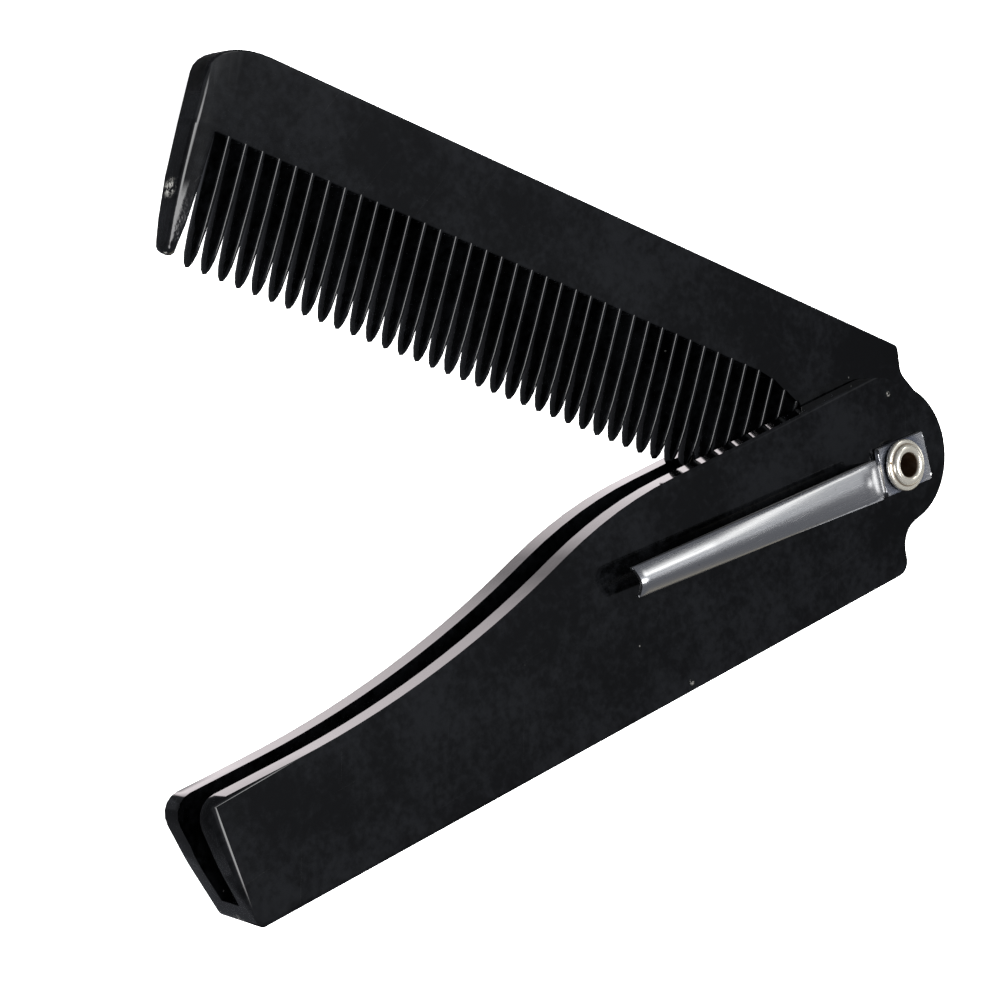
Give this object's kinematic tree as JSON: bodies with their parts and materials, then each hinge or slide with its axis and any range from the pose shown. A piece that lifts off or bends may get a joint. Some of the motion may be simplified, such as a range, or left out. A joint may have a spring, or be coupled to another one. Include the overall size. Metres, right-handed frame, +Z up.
{
  "type": "folding comb",
  "caption": "Folding pocket comb: a toothed blade turns on a hollow rivet into a slotted handle with a sprung pocket clip; shown part open, lying on its back.",
  "frame": {"origin": "on the handle's back face, 45 mm from the rivet's axis toward the free end and level with that axis across the handle", "axes": "+Z up from the back face to the clip side, -X along the handle from the rivet to its free end, +Y toward the slot's open side"},
  "size_m": [0.1138, 0.0837, 0.0128],
  "materials": {
    "handle_plastic": "black, satin faces and glossy edges",
    "blade_plastic": "black, satin faces and glossy edges",
    "rivet_metal": "bright nickel plate",
    "clip_steel": "polished stainless sheet"
  },
  "bodies": {
    "handle": {"handle": "handle_plastic", "rivet": "rivet_metal", "pocket_clip": "clip_steel"},
    "blade": {"comb_blade": "blade_plastic"}
  },
  "joints": [
    {"name": "comb_fold", "type": "hinge", "parent": "handle", "child": "blade", "pos_m": [0.045, 0, 0.0044], "axis": [0, 0, -1], "range_deg": [-37.1, 142.9]}
  ]
}
